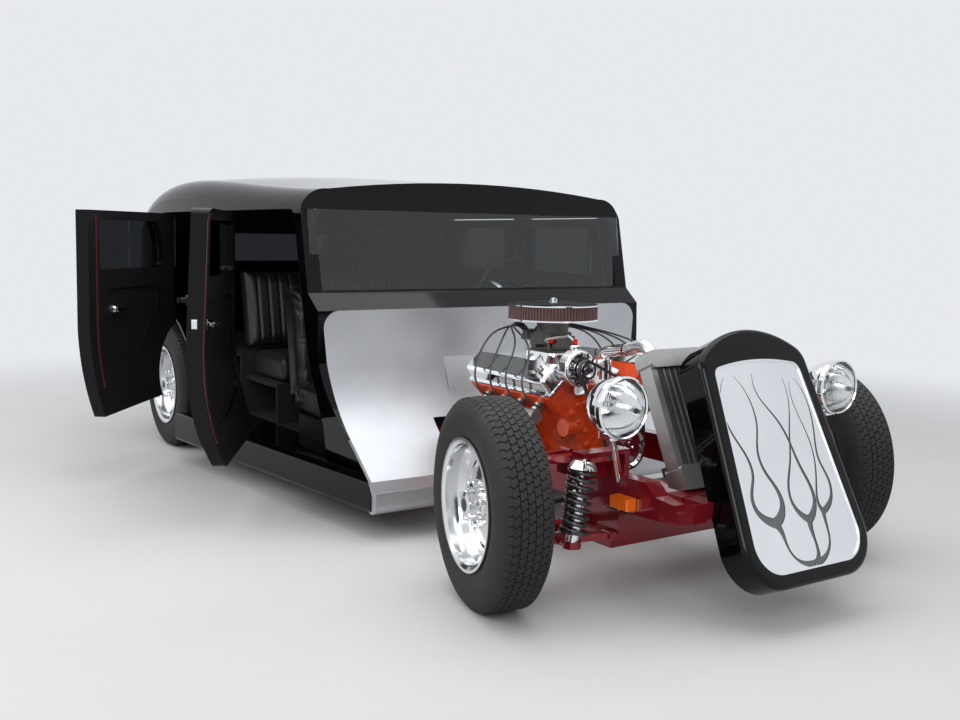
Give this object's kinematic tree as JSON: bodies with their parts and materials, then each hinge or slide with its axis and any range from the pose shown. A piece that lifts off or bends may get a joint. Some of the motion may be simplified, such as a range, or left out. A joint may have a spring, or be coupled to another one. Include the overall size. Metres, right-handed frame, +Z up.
{
  "type": "hot rod car",
  "caption": "Chopped four-door hot rod with an open V8, slanted flame grille ahead of the axle, rear-hinged doors and slotted deep-dish wheels; doors, wheels and steering move.",
  "frame": {"origin": "centre of the front jacking pad's underside, on the centreline below the front axle, 150 mm above the floor", "axes": "+X forward, +Y to the car's left, +Z up"},
  "size_m": [4.5832, 2.3911, 1.4714],
  "materials": {
    "body_black": "high gloss",
    "brushed_panel": "brushed",
    "grille_metal": "satin with traditional flames",
    "frame_red": "gloss",
    "engine_orange": "semi-gloss",
    "chrome": "polished",
    "cast_aluminium": "satin",
    "wheel_metal": "polished",
    "tyre_rubber": "matt",
    "black_steel": "satin",
    "hose_rubber": "matt",
    "clear_glass": "clear",
    "seat_leather": "soft",
    "trim_plastic": "matt",
    "amber_lens": "gloss",
    "lamp_red": "gloss"
  },
  "bodies": {
    "chassis": {"windscreen": "clear_glass", "cowl": "body_black", "firewall_panel": "brushed_panel", "roof": "body_black", "back_panel": "body_black", "body_side_left": "body_black", "body_side_right": "body_black", "sills": "body_black", "floor": "black_steel", "control_arms": "frame_red", "front_coilovers": "black_steel", "engine_block": "engine_orange", "valve_covers": "chrome", "intake_manifold": "cast_aluminium", "carburettor": "cast_aluminium", "air_cleaner": "chrome", "accessory_drive": "black_steel", "alternator": "chrome", "exhaust": "chrome", "transmission": "cast_aluminium", "grille_insert": "grille_metal", "grille_shell": "body_black", "radiator": "cast_aluminium", "radiator_hoses": "hose_rubber", "headlamps": "chrome", "headlamp_lenses": "clear_glass", "turn_signals": "amber_lens", "signal_brackets": "chrome", "ignition": "trim_plastic", "frame": "frame_red", "steering_rack": "black_steel", "rear_axle": "black_steel", "rear_suspension": "black_steel", "fuel_tank": "black_steel", "rear_window": "clear_glass", "tail_lamps": "lamp_red", "front_seat": "seat_leather", "rear_seat": "seat_leather", "dashboard": "trim_plastic", "steering_wheel": "trim_plastic"},
    "knuckle_left": {"knuckle_left": "black_steel"},
    "wheel_front_left": {"wheel_front_left": "wheel_metal", "tyre_front_left": "tyre_rubber"},
    "wheel_rear_left": {"wheel_rear_left": "wheel_metal", "tyre_rear_left": "tyre_rubber"},
    "door_front_left": {"door_front_left": "body_black", "door_glass_front_left": "clear_glass"},
    "door_rear_left": {"door_rear_left": "body_black", "door_glass_rear_left": "clear_glass"},
    "knuckle_right": {"knuckle_right": "black_steel"},
    "wheel_front_right": {"wheel_front_right": "wheel_metal", "tyre_front_right": "tyre_rubber"},
    "wheel_rear_right": {"wheel_rear_right": "wheel_metal", "tyre_rear_right": "tyre_rubber"},
    "door_front_right": {"door_front_right": "body_black", "door_glass_front_right": "clear_glass"},
    "door_rear_right": {"door_rear_right": "body_black", "door_glass_rear_right": "clear_glass"},
    "tie_rods": {"tie_rods": "black_steel"}
  },
  "joints": [
    {"name": "steer_left", "type": "hinge", "parent": "chassis", "child": "knuckle_left", "pos_m": [0, 0.713, 0.1875], "axis": [0, 0, 1], "range_deg": [-17.7, 42.3]},
    {"name": "wheel_front_left_spin", "type": "hinge", "parent": "knuckle_left", "child": "wheel_front_left", "pos_m": [0.01278, 0.77162, 0.1875], "axis": [0.213, 0.977, 0], "continuous": true},
    {"name": "wheel_rear_left_spin", "type": "hinge", "parent": "chassis", "child": "wheel_rear_left", "pos_m": [-3.1, 0.77, 0.1875], "axis": [0, 1, 0], "continuous": true},
    {"name": "door_front_left_hinge", "type": "hinge", "parent": "chassis", "child": "door_front_left", "pos_m": [-2.1, 0.89483, 0.65], "axis": [0, 0, 1], "range_deg": [0, 75]},
    {"name": "door_rear_left_hinge", "type": "hinge", "parent": "chassis", "child": "door_rear_left", "pos_m": [-2.905, 0.91437, 0.65], "axis": [0, 0, 1], "range_deg": [0, 75]},
    {"name": "steer_right", "type": "hinge", "parent": "chassis", "child": "knuckle_right", "pos_m": [0, -0.713, 0.1875], "axis": [0, 0, 1], "range_deg": [-17.7, 42.3]},
    {"name": "wheel_front_right_spin", "type": "hinge", "parent": "knuckle_right", "child": "wheel_front_right", "pos_m": [-0.01278, -0.77162, 0.1875], "axis": [0.213, 0.977, 0], "continuous": true},
    {"name": "wheel_rear_right_spin", "type": "hinge", "parent": "chassis", "child": "wheel_rear_right", "pos_m": [-3.1, -0.77, 0.1875], "axis": [0, 1, 0], "continuous": true},
    {"name": "door_front_right_hinge", "type": "hinge", "parent": "chassis", "child": "door_front_right", "pos_m": [-2.1, -0.89483, 0.65], "axis": [0, 0, -1], "range_deg": [-32, 43]},
    {"name": "door_rear_right_hinge", "type": "hinge", "parent": "chassis", "child": "door_rear_right", "pos_m": [-2.905, -0.91437, 0.65], "axis": [0, 0, -1], "range_deg": [-50, 25]},
    {"name": "rack_slide", "type": "slide", "parent": "chassis", "child": "tie_rods", "axis": [0, 1, 0], "range_m": [-0.09, 0.04]}
  ],
  "couplings": [
    {"joint": "steer_right", "follows": "steer_left", "ratio": 1},
    {"joint": "rack_slide", "follows": "steer_left", "m_per_rad": -0.115}
  ]
}
